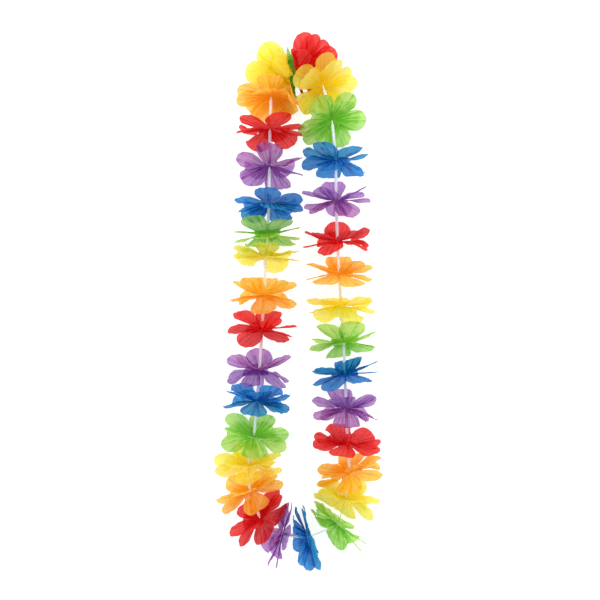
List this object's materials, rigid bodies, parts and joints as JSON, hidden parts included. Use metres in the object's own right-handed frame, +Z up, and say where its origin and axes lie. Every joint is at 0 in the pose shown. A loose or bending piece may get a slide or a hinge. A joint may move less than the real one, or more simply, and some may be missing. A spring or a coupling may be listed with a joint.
{
  "type": "artificial flower lei",
  "caption": "Flower lei laid out as a long loop: rainbow-dyed pleated fabric blooms threaded on a thin white cord with short clear plastic tubes between them.",
  "frame": {"origin": "on the surface the lei lies on, under the middle of its box", "axes": "+Y along the loop's length towards its tied top, +X across the loop, +Z up"},
  "size_m": [0.1682, 0.5382, 0.058],
  "materials": {
    "green_fabric": "thin see-through pleated green fabric with a soft sheen",
    "yellow_fabric": "thin see-through pleated yellow fabric with a soft sheen",
    "orange_fabric": "thin see-through pleated orange fabric with a soft sheen",
    "red_fabric": "thin see-through pleated red fabric with a soft sheen",
    "purple_fabric": "thin see-through pleated purple fabric with a soft sheen",
    "blue_fabric": "thin see-through pleated blue fabric with a soft sheen",
    "clear_tube": "clear smooth drinking-straw plastic",
    "cord": "twisted white thread"
  },
  "bodies": {
    "root": {"bloom_01_green": "green_fabric", "bloom_02_yellow": "yellow_fabric", "bloom_03_orange": "orange_fabric", "bloom_04_red": "red_fabric", "bloom_05_purple": "purple_fabric", "bloom_06_blue": "blue_fabric", "bloom_07_green": "green_fabric", "bloom_08_yellow": "yellow_fabric", "bloom_09_orange": "orange_fabric", "bloom_10_red": "red_fabric", "bloom_11_purple": "purple_fabric", "bloom_12_blue": "blue_fabric", "bloom_13_green": "green_fabric", "bloom_14_yellow": "yellow_fabric", "bloom_15_orange": "orange_fabric", "bloom_16_red": "red_fabric", "bloom_17_purple": "purple_fabric", "bloom_18_blue": "blue_fabric", "bloom_19_green": "green_fabric", "bloom_20_yellow": "yellow_fabric", "bloom_21_orange": "orange_fabric", "bloom_22_red": "red_fabric", "bloom_23_purple": "purple_fabric", "bloom_24_blue": "blue_fabric", "bloom_25_green": "green_fabric", "bloom_26_yellow": "yellow_fabric", "bloom_27_orange": "orange_fabric", "bloom_28_red": "red_fabric", "bloom_29_purple": "purple_fabric", "bloom_30_blue": "blue_fabric", "bloom_31_green": "green_fabric", "bloom_32_yellow": "yellow_fabric", "bloom_33_red": "red_fabric", "cord_loop": "cord", "tube_03_04": "clear_tube", "tube_04_05": "clear_tube", "tube_05_06": "clear_tube", "tube_06_07": "clear_tube", "tube_07_08": "clear_tube", "tube_08_09": "clear_tube", "tube_09_10": "clear_tube", "tube_10_11": "clear_tube", "tube_11_12": "clear_tube", "tube_12_13": "clear_tube", "tube_13_14": "clear_tube", "tube_14_15": "clear_tube", "tube_15_16": "clear_tube", "tube_17_18": "clear_tube", "tube_20_21": "clear_tube", "tube_21_22": "clear_tube", "tube_22_23": "clear_tube", "tube_23_24": "clear_tube", "tube_24_25": "clear_tube", "tube_25_26": "clear_tube", "tube_26_27": "clear_tube", "tube_27_28": "clear_tube", "tube_28_29": "clear_tube", "tube_29_30": "clear_tube", "tube_30_31": "clear_tube", "tube_31_32": "clear_tube"}
  },
  "joints": []
}
